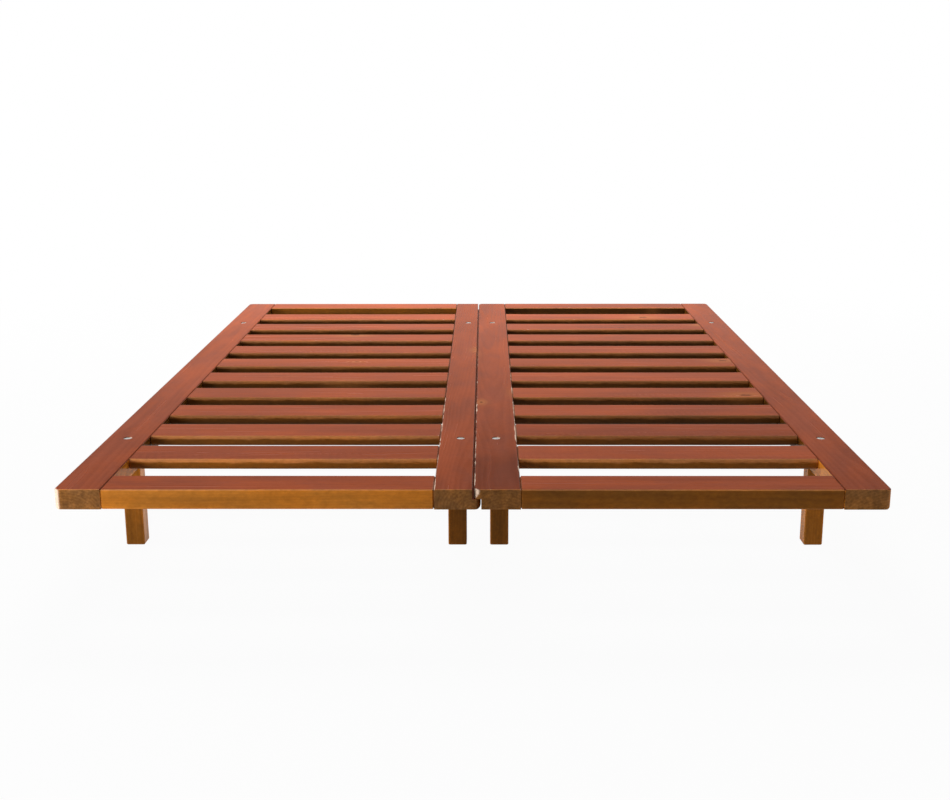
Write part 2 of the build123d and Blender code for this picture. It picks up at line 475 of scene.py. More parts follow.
def ragged_height(graph, given):
    """The height on a board, from -1 to 1, with a ragged line for a coat to end on."""
    changes_per_metre, detail, roughness = (24.0, 60.0, 220.0), 5.0, 0.65
    raggedness = 1.1
    height = graph.math("DIVIDE", graph.split(given["Position"])[2], graph.split(given["Half Size"])[2])
    stretched = graph.stretch(given["Position"], changes_per_metre)
    ragged = graph.noise(stretched, detail=detail, roughness=roughness)
    ragged = graph.math("SUBTRACT", ragged, NOISE_MIDDLE)
    return graph.math("MULTIPLY_ADD", ragged, raggedness, height)


def side_coat_as_lit(graph, given, facing, from_end, height, edge):
    """The golden side stain, which is the stain as lit from the side, on edges, flanks and legs. Each flank
    has painted light and painted shade of its own, a very light flank turns pale with a painted reflection,
    and the coat is thin, with painted light, on up-tilted edges and high up.
    """
    timber = bpy.context.scene.bed_timber
    left_to_right = (-0.5, 0.5)
    flank_shade_sets_in = (0.17, 0.36)
    sideways_enough = (0.60, 0.95)
    pale_tones, most_pale = (3.2, 6.0), 0.45
    upwards_enough = (0.15, 0.50)
    thinning = 0.6

    # Painted light and shade: each flank takes its own tone, and further in from the near end its depth,
    # which paints shade between the slats where it is below one
    flank = graph.span(facing[0], *left_to_right, given["Left Flank"], given["Right Flank"])
    depth = graph.span(facing[0], *left_to_right, given["Left Depth"], given["Right Depth"])
    flank = graph.math("MULTIPLY", flank, graph.span(from_end, *flank_shade_sets_in, 1.0, depth))
    flank = graph.span(graph.math("ABSOLUTE", facing[0]), *sideways_enough, 1.0, flank)
    coat = graph.tint(timber.side_stain_as_lit, graph.math("MULTIPLY", given["Side Tone"], flank))
    # Painted reflection: a very light flank turns towards the pale bare wood colour
    pale = graph.span(flank, *pale_tones, 0.0, most_pale, smooth=False)
    coat = graph.mix(pale, coat, opaque(timber.bare_wood_and_glare))
    coat = graph.tint(coat, graph.math("MULTIPLY_ADD", edge, timber.edge_gain, 1.0))
    # The up-tilted edges and the upper part of a slat's face take the thin coat, a thin stain with painted
    # light
    high = graph.span(graph.math("SUBTRACT", height, given["Thin From"]), 0.0, thinning)
    thin = graph.math("MAXIMUM", graph.span(facing[2], *upwards_enough), high)
    return graph.mix(thin, coat, graph.tint(timber.thin_stain_and_light, given["Thin Tone"]))


def soaked_end(graph, given, from_end, patches):
    """How much darker the top is at the near end, as far as that has soaked up more stain."""
    raggedness = 0.12
    soaked_from = (0.22, 0.34)
    ragged = graph.math("MULTIPLY_ADD", patches, raggedness, from_end)
    return graph.math("MULTIPLY", graph.span(ragged, *soaked_from, 1, 0), given["Dark End"])


def top_coat_as_lit(graph, given, facing, soaked):
    """The red top stain, which is the stain as lit from above, darker on the rounding of the side edges,
    where stain gathers and painted shade stands for the shadow in the groove.
    """
    # Partly painted shade: the rounding that looks left or right is darker, for stain that gathers there and
    # for the shadow in the groove beside it
    gathering_and_shading, gathered_and_shaded_tone = (0.15, 0.60), 0.55
    gathered_and_shaded = graph.span(graph.math("ABSOLUTE", facing[0]), *gathering_and_shading, 1.0, gathered_and_shaded_tone)
    tone = graph.math("MULTIPLY", given["Top Tone"], gathered_and_shaded)
    tone = graph.math("MULTIPLY", tone, graph.math("SUBTRACT", 1.0, soaked))
    return graph.tint(bpy.context.scene.bed_timber.top_stain_as_lit, tone)


def end_coat(graph, given, soaked):
    """The greyer coat on the sawn ends, which soaks less than the top."""
    soaking = 0.6
    tone = graph.math("MULTIPLY", given["Top Tone"], graph.math("MULTIPLY_ADD", soaked, -soaking, 1.0))
    return graph.tint(bpy.context.scene.bed_timber.end_stain, tone)


def grain_level(graph, growth, top, end):
    """How much lighter or darker the grain makes a coat. It shows less on top, and most on the ends."""
    blotch_levels = (0.88, 1.28)
    streaks_on_sides, streaks_less_on_top = 0.27, -0.22
    fibre_noise, fibre_levels = (0.20, 0.80), (0.97, 1.03)
    fleck_noise = (0.30, 0.70)
    flecks_on_sides, flecks_less_on_top, flecks_more_on_ends = 0.16, -0.10, 0.16

    level = graph.span(growth["Blotches"], *NOISE_RANGE, *blotch_levels, smooth=False)
    streaks = graph.span(growth["Streaks"], *NOISE_RANGE, -1, 1, smooth=False)
    strength = graph.math("MULTIPLY_ADD", top, streaks_less_on_top, streaks_on_sides)
    level = graph.math("MULTIPLY", level, graph.math("MULTIPLY_ADD", streaks, strength, 1.0))
    fibres = graph.span(growth["Fibres"], *fibre_noise, *fibre_levels, smooth=False)
    level = graph.math("MULTIPLY", level, fibres)
    flecks = graph.span(growth["Flecks"], *fleck_noise, -1, 1, smooth=False)
    strength = graph.math("MULTIPLY_ADD", top, flecks_less_on_top, flecks_on_sides)
    strength = graph.math("MULTIPLY_ADD", end, flecks_more_on_ends, strength)
    return graph.math("MULTIPLY", level, graph.math("MULTIPLY_ADD", flecks, strength, 1.0))


def show_growth(graph, coat, growth, end):
    """A coat with the patches, rings and knots of the wood under it."""
    timber = bpy.context.scene.bed_timber
    patch_noise = (0.36, 0.64)
    glow_strength = 0.5
    rings_more_on_ends = 0.18
    knot_strength = 0.8

    warmth = graph.span(growth["Patches"], *patch_noise)
    patches = graph.mix(warmth, opaque(timber.cool_patch), opaque(timber.warm_patch))
    coat = graph.mix(1.0, coat, patches, "MULTIPLY")
    glow = graph.math("MULTIPLY", growth["Glow"], glow_strength)
    coat = graph.mix(glow, coat, opaque(timber.knot_glow))
    figure = graph.math("MULTIPLY_ADD", end, rings_more_on_ends, timber.figure)
    rings = graph.math("MULTIPLY", growth["Rings"], figure)
    coat = graph.mix(rings, coat, opaque(timber.late_wood), "MULTIPLY")
    knots = graph.math("MULTIPLY", growth["Knot"], knot_strength)
    return graph.mix(knots, coat, opaque(timber.knot_wood), "MULTIPLY")


def corner_wear_and_highlight(graph, given, facing, height):
    """Where the front left corner is pale, worn and with a painted highlight of the light from the left: as
    wide as its rounding above, and narrower to its foot.
    """
    narrowest = 0.9
    leftwards_enough = (-0.50, -0.08)
    frontwards_enough = (-0.40, -0.10)
    over_foot = graph.math("SUBTRACT", height, given["Corner Foot"])
    narrowing = graph.span(over_foot, 0.0, 1.0, narrowest, 0.0, smooth=False)
    leftward = graph.span(graph.math("ADD", facing[0], narrowing), *leftwards_enough, 1, 0)
    frontward = graph.span(facing[1], *frontwards_enough, 1, 0)
    return graph.math("MULTIPLY", graph.math("MULTIPLY", leftward, frontward), given["Bare Corner"])


def stain_roughness(graph, growth, end, worn):
    """Roughness of the stain: less on the late wood, and more on the ends, on the worn edges and on the pale
    front left corner with its painted highlight.
    """
    roughness = (0.23, 0.29)
    late_wood_less, ends_more, worn_more = -0.05, 0.18, 0.15
    rough = graph.span(growth["Streaks"], *NOISE_RANGE, *roughness, smooth=False)
    rough = graph.math("MULTIPLY_ADD", growth["Rings"], late_wood_less, rough)
    rough = graph.math("MULTIPLY_ADD", end, ends_more, rough)
    return graph.math("MULTIPLY_ADD", worn, worn_more, rough)


def stain_group():
    """Colour, roughness and relief of the stained timber, from its growth and its wear."""
    timber = bpy.context.scene.bed_timber
    graph, given, out = new_group(
        "timber_stain", "ShaderNodeTree", STAIN_INPUTS,
        {**sockets("Color", "Colour"), **sockets("Float", "Roughness", "Relief")},
    )
    over_sides = 0.75
    upwards_enough, endwards_enough = (0.880, 0.995), (0.60, 0.90)
    edge_wear = 0.85
    knot_relief = 0.5

    growth = graph.group(growth_group(), {
        "Position": given["Position"], "Seed": given["Seed"], "Ring Spacing": timber.ring_spacing,
    })
    wear = graph.group(wear_group(), {
        "Position": given["Position"], "Half Size": given["Half Size"], "Wear Reach": given["Wear Reach"],
        "Edge Reach": timber.edge_reach, "Seed": given["Seed"],
    })

    # The top coat runs over the edges at the left and the right, and stops short of the others
    facing = graph.split(given["Normal"])
    sideways = graph.math("ABSOLUTE", facing[0])
    top = graph.span(graph.math("MULTIPLY_ADD", sideways, over_sides, facing[2]), *upwards_enough)
    endwards = graph.math("ABSOLUTE", graph.dot(given["Normal"], given["Grain"]))
    end = graph.span(endwards, *endwards_enough)
    from_end = graph.dot(graph.vector("ADD", given["Position"], given["Half Size"]), (1, 0, 0))
    height = ragged_height(graph, given)
    soaked = soaked_end(graph, given, from_end, growth["Patches"])

    # Painted light: the faces that look up take the stain as lit from above, the others the stain as lit from
    # the side
    coat = side_coat_as_lit(graph, given, facing, from_end, height, wear["Edge"])
    coat = graph.mix(top, coat, top_coat_as_lit(graph, given, facing, soaked))
    coat = graph.mix(end, coat, end_coat(graph, given, soaked))
    coat = graph.tint(coat, grain_level(graph, growth, top, end))
    coat = show_growth(graph, coat, growth, end)
    # Real wear on the long edges, and the front left corner, worn pale and with a painted highlight
    worn_edge = graph.math("MULTIPLY", wear["Wear"], edge_wear)
    worn = graph.math("MAXIMUM", worn_edge, corner_wear_and_highlight(graph, given, facing, height))
    return finish_group(graph, out, {
        "Colour": graph.mix(worn, coat, opaque(timber.bare_wood_and_glare)),
        "Roughness": stain_roughness(graph, growth, end, worn),
        "Relief": graph.math("MULTIPLY_ADD", growth["Knot"], knot_relief, growth["Fibres"]),
    })


def new_material(name):
    """An empty material, with its graph, its shader and its output already linked."""
    material = bpy.data.materials.new(name)
    material.use_nodes = True
    material.node_tree.nodes.clear()
    graph = Graph(material.node_tree)
    shader = graph.node("ShaderNodeBsdfPrincipled")
    graph.node("ShaderNodeOutputMaterial", {"Surface": shader.outputs["BSDF"]})
    return material, graph, shader


def coat_timber(
    graph, shader, position, seed, tones, grain, half_size, wear,
    flank_light_tones=PLAIN_FLANK_LIGHT, flank_shade_depths=(1.0, 1.0), thin_from=ABOVE_BOARD,
    worn_lit_corner=0.0, corner_foot=BELOW_BOARD, dark_end=0.0,
):
    """Lay the shared stain on a material, at board-local positions with the grain along X.

    The tones are the lightness of the top, of the sides and of the thin coat, and the wear is its
    reach against that on a well worn edge. The flanks, which look left and right, carry painted
    light in tones of their own on top of the sides', and painted shade in depths that multiply
    those away from the near end. Heights are parts of the board's half thickness: the coat on the
    sides is thin, with painted light, above one, and a worn lit corner narrows down to another. A
    worn lit corner is how far the front left one is worn pale and carries a painted highlight, and
    a dark end is how much darker the near end of the top is.
    """
    top_tone, side_tone, thin_tone = tones
    left_flank_light, right_flank_light = flank_light_tones
    left_flank_shade, right_flank_shade = flank_shade_depths
    stain = graph.group(shared_group("timber_stain", stain_group), {
        "Position": position,
        "Normal": graph.node("ShaderNodeTexCoord").outputs["Normal"],
        "Grain": grain.direction,
        "Half Size": half_size,
        "Seed": seed,
        "Top Tone": top_tone,
        "Side Tone": side_tone,
        "Thin Tone": thin_tone,
        "Left Flank": left_flank_light,
        "Right Flank": right_flank_light,
        "Left Depth": left_flank_shade,
        "Right Depth": right_flank_shade,
        "Thin From": thin_from,
        "Wear Reach": wear * bpy.context.scene.bed_timber.arris_reach,
        "Bare Corner": worn_lit_corner,
        "Corner Foot": corner_foot,
        "Dark End": dark_end,
    })
    bump = graph.node("ShaderNodeBump", {"Height": stain["Relief"], **GRAIN_BUMP})
    graph.feed(shader, "Base Color", stain["Colour"])
    graph.feed(shader, "Roughness", stain["Roughness"])
    graph.feed(shader, "Normal", bump.outputs["Normal"])
    graph.feed(shader, "IOR", STAIN_IOR)
    graph.feed(shader, "Specular IOR Level", STAIN_SPECULAR)


def board_seed(name):
    """A number from 0 to 1 that belongs to a board's name, and is the same in every run."""
    factor, modulus = 31, 9973
    total = 0
    for letter in name:
        total = (total * factor + ord(letter)) % modulus
    return total / modulus


def board_timber(node, grain, wear, top_tone=1.0, side_tone=1.0, **marks):
    """The timber of one board, with the figure along its grain."""
    low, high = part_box(node)
    half_size = getattr(high - low, grain.order) / 2
    seed = board_seed(node)
    material, graph, shader = new_material(f"{node}_timber")
    position = graph.node("ShaderNodeMapping", {
        "Vector": graph.node("ShaderNodeTexCoord").outputs["Object"],
        "Location": (low + high) / 2,
        "Rotation": grain.turn,
    }, vector_type="TEXTURE").outputs[0]
    tone = 1 + bpy.context.scene.bed_timber.tone_spread * (seed - 0.5)
    tones = (tone * top_tone, tone * side_tone, tone * top_tone)
    coat_timber(graph, shader, position, seed * SEED_RANGE, tones, grain, half_size, wear, **marks)
    return material


def plated_steel(name, settings):
    """Plated steel: clear, with a faint haze and finer scratches."""
    metallic = 0.7
    haze_per_metre, haze_detail, haze_noise = 420.0, 3.0, (0.35, 0.70)
    scratches_per_metre, scratch_noise = (900.0, 2400.0, 900.0), (0.30, 0.80)
    haze_roughness, scratch_roughness = 0.12, 0.10
    scratch_bump = {"Strength": 0.1, "Distance": 0.00005}

    material, graph, shader = new_material(name)
    place = graph.node("ShaderNodeTexCoord").outputs["Object"]
    haze = graph.span(graph.noise(place, scale=haze_per_metre, detail=haze_detail), *haze_noise)
    scratches = graph.noise(graph.stretch(place, scratches_per_metre))
    roughest = settings.roughness + scratch_roughness
    scratched = graph.span(scratches, *scratch_noise, settings.roughness, roughest)
    bump = graph.node("ShaderNodeBump", {"Height": scratches, **scratch_bump})
    graph.feed(shader, "Base Color", graph.mix(haze, opaque(settings.plate), opaque(settings.haze)))
    graph.feed(shader, "Roughness", graph.math("MULTIPLY_ADD", haze, haze_roughness, scratched))
    graph.feed(shader, "Metallic", metallic)
    graph.feed(shader, "Normal", bump.outputs["Normal"])
    return material


def coat_node(node, material):
    """Give a CAD node its finish."""
    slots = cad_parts[node].data.materials
    slots.clear()
    slots.append(material)


def link_new(name, data):
    """A new object in the scene."""
    made = bpy.data.objects.new(name, data)
    bpy.context.scene.collection.objects.link(made)
    return made


def run_tree(name, tree, values):
    """Evaluate a geometry tree with named inputs, and keep the result as a plain mesh object."""
    source = link_new(f"{name}_source", bpy.data.meshes.new(f"{name}_source"))
    modifier = source.modifiers.new(name, "NODES")
    modifier.node_group = tree
    for item in tree.interface.items_tree:
        if item.in_out == "INPUT" and item.name in values:
            modifier[item.identifier] = values[item.name]
    weighted = source.modifiers.new("weighted_normals", "WEIGHTED_NORMAL")
    weighted.keep_sharp = True
    evaluated = source.evaluated_get(bpy.context.evaluated_depsgraph_get())
    mesh = bpy.data.meshes.new_from_object(evaluated)
    mesh.name = name
    bpy.data.objects.remove(source)
    if not mesh.polygons:
        raise RuntimeError(f"{name} came out empty")
    return link_new(name, mesh)


BOARD_INPUTS = {
    **sockets("Int", "Count", "Seed"),
    **sockets("Vector", "First Place", "Step"),
    **sockets("Float", "Length", "Width", "Thickness", "Edge Radius", "End Ease", "Waviness"),
    **sockets("Float", "Tenon Length", "Tenon Width", "Tenon Thickness", "Tenon Drop"),
    **sockets("Material", "Material"),
}


def reshape_ends(graph, board, ends, width_share, thickness_share, drop=0.0):
    """Scale the end faces of a board across its length, and lower them."""
    position = graph.node("GeometryNodeInputPosition").outputs[0]
    lowered = graph.join(0, 0, graph.math("MULTIPLY", drop, -1.0))
    place = graph.stretch(position, graph.join(1.0, width_share, thickness_share), lowered)
    inputs = {"Geometry": board, "Selection": ends, "Position": place}
    return graph.node("GeometryNodeSetPosition", inputs).outputs[0]


def board_body(graph, given, half_length):
    """The body of a board along X, about the origin, with enough points along it to take a bow."""
    points_round_edge = 6
    points_along = 41
    inputs = {"Width": given["Width"], "Height": given["Thickness"]}
    section = graph.node("GeometryNodeCurvePrimitiveQuadrilateral", inputs).outputs[0]
    inputs = {"Curve": section, "Radius": given["Edge Radius"], "Count": points_round_edge}
    section = graph.node("GeometryNodeFilletCurve", inputs, mode="POLY").outputs[0]
    inputs = {"Start": graph.join(graph.math("MULTIPLY", half_length, -1.0)), "End": graph.join(half_length)}
    line = graph.node("GeometryNodeCurvePrimitiveLine", inputs).outputs[0]
    line = graph.node("GeometryNodeResampleCurve", {"Curve": line, "Count": points_along}).outputs[0]
    inputs = {"Curve": line, "Profile Curve": section, "Fill Caps": True}
    return graph.node("GeometryNodeCurveToMesh", inputs).outputs[0]


def cross_board(graph, given):
    """One slat or rail along X, about the origin: a rounded section, eased shoulders and tenons."""
    endwards_enough = 0.9
    width, thickness, ease = given["Width"], given["Thickness"], given["End Ease"]
    half_length = graph.math("SUBTRACT", graph.math("MULTIPLY", given["Length"], 0.5), ease)
    board = board_body(graph, given, half_length)

    facing = graph.split(graph.node("GeometryNodeInputNormal").outputs["Normal"])
    ends = graph.math("GREATER_THAN", graph.math("ABSOLUTE", facing[0]), endwards_enough)
    inputs = {"Mesh": board, "Selection": ends, "Offset Scale": ease}
    shoulder = graph.node("GeometryNodeExtrudeMesh", inputs).outputs
    both_eases = graph.math("MULTIPLY", ease, 2.0)
    eased_width = graph.math("SUBTRACT", width, both_eases)
    eased_thickness = graph.math("SUBTRACT", thickness, both_eases)
    board = reshape_ends(
        graph, shoulder["Mesh"], shoulder["Top"],
        graph.math("DIVIDE", eased_width, width), graph.math("DIVIDE", eased_thickness, thickness),
    )
    inputs = {"Mesh": board, "Selection": shoulder["Top"], "Offset Scale": 0.0}
    root = graph.node("GeometryNodeExtrudeMesh", inputs).outputs
    board = reshape_ends(
        graph, root["Mesh"], root["Top"],
        graph.math("DIVIDE", given["Tenon Width"], eased_width),
        graph.math("DIVIDE", given["Tenon Thickness"], eased_thickness),
        given["Tenon Drop"],
    )
    inputs = {"Mesh": board, "Selection": root["Top"], "Offset Scale": given["Tenon Length"]}
    return graph.node("GeometryNodeExtrudeMesh", inputs).outputs["Mesh"]


def bow_offset(graph, given):
    """A slight bow of each board, which dies out at the shoulders and never rises above the true top."""
    changes_per_metre = 4.0
    dying_out = (0.75, 1.00)
    true_place = (NOISE_MIDDLE, NOISE_MIDDLE, 1.0)
    inputs = {"Name": "board_position"}
    local = graph.node("GeometryNodeInputNamedAttribute", inputs, data_type="FLOAT_VECTOR").outputs[0]
    inputs = {"Name": "board_seed"}
    seed = graph.node("GeometryNodeInputNamedAttribute", inputs, data_type="FLOAT").outputs[0]
    along = graph.split(local)[0]
    reach = graph.math("DIVIDE", along, graph.math("MULTIPLY", given["Length"], 0.5))
    free = graph.span(graph.math("ABSOLUTE", reach), *dying_out, 1, 0)
    sway = graph.noise(graph.join(graph.math("MULTIPLY", along, changes_per_metre), seed), output="Color")
    sway = graph.split(graph.vector("SUBTRACT", sway, true_place))
    size = graph.math("MULTIPLY", free, given["Waviness"])
    return graph.join(0, graph.math("MULTIPLY", sway[1], size), graph.math("MULTIPLY", sway[2], size))


def board_tree():
    """A row of slats or a rail: one board set on a line of points, each with a seed and a bow."""
    graph, given, out = new_group(
        "board_row", "GeometryNodeTree", BOARD_INPUTS, sockets("Geometry", "Geometry")
    )
    board = graph.node("GeometryNodeStoreNamedAttribute", {
        "Geometry": cross_board(graph, given),
        "Name": "board_position",
        "Value": graph.node("GeometryNodeInputPosition").outputs[0],
    }, data_type="FLOAT_VECTOR", domain="POINT").outputs[0]
    places = graph.node("GeometryNodeMeshLine", {
        "Count": given["Count"], "Start Location": given["First Place"], "Offset": given["Step"],
    }).outputs[0]
    row = graph.node("GeometryNodeInstanceOnPoints", {"Points": places, "Instance": board}).outputs[0]
    index = graph.node("GeometryNodeInputIndex").outputs[0]
    seed = graph.node("FunctionNodeRandomValue", {
        "Min": 0.0, "Max": SEED_RANGE, "ID": index, "Seed": given["Seed"],
    }).outputs[1]
    row = graph.node("GeometryNodeStoreNamedAttribute", {
        "Geometry": row, "Name": "board_seed", "Value": seed,
    }, data_type="FLOAT", domain="INSTANCE").outputs[0]
    row = graph.node("GeometryNodeRealizeInstances", {"Geometry": row}).outputs[0]
    inputs = {"Geometry": row, "Offset": bow_offset(graph, given)}
    row = graph.node("GeometryNodeSetPosition", inputs).outputs[0]
    row = graph.node("GeometryNodeSetShadeSmooth", {"Geometry": row}).outputs[0]
    row = graph.node("GeometryNodeSetMaterial", {"Geometry": row, "Material": given["Material"]}).outputs[0]
    return finish_group(graph, out, {"Geometry": row})


def clear_width(half):
    """The width between the two stiles of a half."""
    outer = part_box(f"{half}_outer_stile")
    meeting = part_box(f"{half}_meeting_stile")
    left, right = sorted((outer, meeting), key=lambda box: box[0].x)
    return right[0].x - left[1].x


def replace_boards(name, half, nodes, settings, material, seed=0):
    """Make a row of like boards between the stiles of a half, in place of their CAD nodes."""
    boxes = [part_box(node) for node in nodes]
    middles = [(low + high) / 2 for low, high in boxes]
    size = boxes[0][1] - boxes[0][0]
    shoulder_to_shoulder = clear_width(half)
    row = run_tree(name, shared_group("board_row", board_tree), {
        "Count": len(nodes),
        "First Place": middles[0],
        "Step": (middles[-1] - middles[0]) / max(len(nodes) - 1, 1),
        "Length": shoulder_to_shoulder,
        "Width": size.y,
        "Thickness": size.z,
        "Edge Radius": settings.edge_radius,
        "End Ease": settings.end_ease,
        "Waviness": settings.waviness,
        "Tenon Length": (size.x - shoulder_to_shoulder) / 2,
        "Tenon Width": settings.tenon_width,
        "Tenon Thickness": settings.tenon_thickness,
        "Tenon Drop": settings.tenon_drop,
        "Seed": seed,
        "Material": material,
    })
    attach(row, f"{half}_half")
    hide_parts(*nodes)


BOLT_INPUTS = {
    **sockets("Vector", "Middle"),
    **sockets("Float", "Columns Apart", "Rows Apart", "Head Diameter", "Rim Height", "Head Height"),
    **sockets("Float", "Shank Diameter", "Shank Length", "Socket Width", "Socket Depth"),
    **sockets("Int", "Seed"),
    **sockets("Material", "Material"),
}

# A sixth of a turn, after which a hexagon looks the same
SIXTH_TURN = math.pi / 3


def press_out(graph, mesh, face, height, size_share):
    """Raise or sink the flat faces of a turned piece, and scale them there."""
    inputs = {"Mesh": mesh, "Selection": face, "Offset Scale": height}
    raised = graph.node("GeometryNodeExtrudeMesh", inputs).outputs
    inputs = {"Geometry": raised["Mesh"], "Selection": raised["Top"], "Scale": size_share}
    mesh = graph.node("GeometryNodeScaleElements", inputs).outputs[0]
    return mesh, raised["Top"]


def press_socket(graph, given, mesh, face):
    """Sink a hex socket: each point of its rim moves to the nearest flat of the hexagon."""
    mesh, face = press_out(graph, mesh, face, 0.0, 1.0)
    place = graph.split(graph.node("GeometryNodeInputPosition").outputs[0])
    angle = graph.math("ARCTAN2", place[1], place[0])
    from_flat = graph.math("SUBTRACT", graph.math("WRAP", angle, SIXTH_TURN, 0.0), SIXTH_TURN / 2)
    flat = graph.math("MULTIPLY", given["Socket Width"], 0.5)
    reach = graph.math("DIVIDE", flat, graph.math("COSINE", from_flat))
    hexagon = graph.join(
        graph.math("MULTIPLY", reach, graph.math("COSINE", angle)),
        graph.math("MULTIPLY", reach, graph.math("SINE", angle)),
        place[2],
    )
    inputs = {"Geometry": mesh, "Selection": face, "Position": hexagon}
    mesh = graph.node("GeometryNodeSetPosition", inputs).outputs[0]
    sunk = graph.math("MULTIPLY", given["Socket Depth"], -1.0)
    return press_out(graph, mesh, face, sunk, 1.0)[0]


def bolt_body(graph, given):
    """One bolt, with the seat of its head at the origin: a crowned head, a hex socket and a shank."""
    points_round_head = 48
    # Of each step of the crown: its share of the rise, and the size of its top against the last
    crown_steps = ((0.29, 0.87), (0.30, 0.81), (0.25, 0.75), (0.16, 0.71))
    rim = graph.node("GeometryNodeMeshCylinder", {
        "Vertices": points_round_head,
        "Radius": graph.math("MULTIPLY", given["Head Diameter"], 0.5),
        "Depth": given["Rim Height"],
    }).outputs
    lift = graph.join(0, 0, graph.math("MULTIPLY", given["Rim Height"], 0.5))
    mesh = graph.node("GeometryNodeTransform", {"Geometry": rim["Mesh"], "Translation": lift}).outputs[0]
    crown = graph.math("SUBTRACT", given["Head Height"], given["Rim Height"])
    face = rim["Top"]
    for rise, size_share in crown_steps:
        mesh, face = press_out(graph, mesh, face, graph.math("MULTIPLY", crown, rise), size_share)
    mesh = press_socket(graph, given, mesh, face)
    shank_share = graph.math("DIVIDE", given["Shank Diameter"], given["Head Diameter"])
    mesh, root = press_out(graph, mesh, rim["Bottom"], 0.0, shank_share)
    return press_out(graph, mesh, root, given["Shank Length"], 1.0)[0]


def bolt_tree():
    """Four bolts, one over each leg of a half, each turned to a different angle."""
    graph, given, out = new_group(
        "leg_bolt_set", "GeometryNodeTree", BOLT_INPUTS, sockets("Geometry", "Geometry")
    )
    places = graph.node("GeometryNodeMeshGrid", {
        "Size X": given["Columns Apart"], "Size Y": given["Rows Apart"], "Vertices X": 2, "Vertices Y": 2,
    }).outputs[0]
    inputs = {"Geometry": places, "Translation": given["Middle"]}
    places = graph.node("GeometryNodeTransform", inputs).outputs[0]
    index = graph.node("GeometryNodeInputIndex").outputs[0]
    turn = graph.node("FunctionNodeRandomValue", {
        "Min": 0.0, "Max": SIXTH_TURN, "ID": index, "Seed": given["Seed"],
    }).outputs[1]
    bolts = graph.node("GeometryNodeInstanceOnPoints", {
        "Points": places, "Instance": bolt_body(graph, given), "Rotation": graph.join(0, 0, turn),
    }).outputs[0]
    bolts = graph.node("GeometryNodeRealizeInstances", {"Geometry": bolts}).outputs[0]
    inputs = {"Geometry": bolts, "Material": given["Material"]}
    bolts = graph.node("GeometryNodeSetMaterial", inputs).outputs[0]
    return finish_group(graph, out, {"Geometry": bolts})


class BED_OT_finish_stiles(bpy.types.Operator):
    """Stain the four long side boards"""

    bl_idname = "bed.finish_stiles"
    bl_label = "Finish Stiles"

    # Of each stile: the lightness of its top, its wear against a well worn edge, and its own marks
    # The tops' lightness is partly painted shade: the stiles are drawn darker than the slats, the outer ones
    # for light that falls off towards the sides
    STILES = {
        # The flanks hold painted light and shade: the inner faces of the outer stiles are painted lit near
        # the foot end and in painted shade further in, and the left meeting stile's face in the gap between
        # the halves is in painted shade
        "left_outer": {
            "top_tone": 0.84, "wear": 0.35, "flank_light_tones": (1.25, 2.4), "flank_shade_depths": (1.0, 0.15),
            "worn_lit_corner": 0.9,
        },
        "left_meeting": {"top_tone": 0.92, "wear": 1.0, "flank_light_tones": (1.25, 0.4)},
        "right_meeting": {
            "top_tone": 0.82, "wear": 1.4, "worn_lit_corner": 0.9, "corner_foot": -0.35, "dark_end": 0.30,
        },
        "right_outer": {
            "top_tone": 0.84, "wear": 0.35, "flank_light_tones": (2.4, 1.25), "flank_shade_depths": (0.15, 1.0),
        },
    }

    def execute(self, context):
        for place, finish in self.STILES.items():
            node = f"{place}_stile"
            coat_node(node, board_timber(node, ALONG, **finish))
        return {"FINISHED"}


class BED_OT_make_rails(bpy.types.Operator):
    """Make the end rails of both halves, with eased ends"""

    bl_idname = "bed.make_rails"
    bl_label = "Make Rails"

    # The rails were cut from lighter and from darker wood, which shows on their long edges
    SIDE_TONES = {
        "left": {"front": 1.62, "back": 1.1},
        "right": {"front": 0.68, "back": 0.42},
    }
    WEAR = 0.35

    def execute(self, context):
        settings = context.scene.bed_rails
        for half, ends in self.SIDE_TONES.items():
            for end, side_tone in ends.items():
                node = f"{half}_{end}_rail"
                material = board_timber(node, ACROSS, self.WEAR, side_tone=side_tone)
                replace_boards(f"{node}_board", half, [node], settings, material)
        return {"FINISHED"}


class BED_OT_finish_legs(bpy.types.Operator):
    """Stain the legs"""

    bl_idname = "bed.finish_legs"
    bl_label = "Finish Legs"

    # The inner legs are darker than the outer ones, and most have a pale flank: painted light and a painted
    # reflection of the white floor and backdrop
    LEGS = {
        ("left", "outer"): {"side_tone": 0.68, "flank_light_tones": (2.0, 5.5)},
        ("left", "inner"): {"side_tone": 0.52, "flank_light_tones": (4.5, 1.25)},
        ("right", "inner"): {"side_tone": 0.53, "flank_light_tones": (4.5, 1.25)},
        ("right", "outer"): {"side_tone": 0.78, "flank_light_tones": (3.2, 2.0)},
    }
    WEAR = 0.3

    def execute(self, context):
        for (half, side), finish in self.LEGS.items():
            for end in ENDS:
                node = f"{half}_{end}_{side}_leg"
                coat_node(node, board_timber(node, UPRIGHT, self.WEAR, **finish))
        return {"FINISHED"}


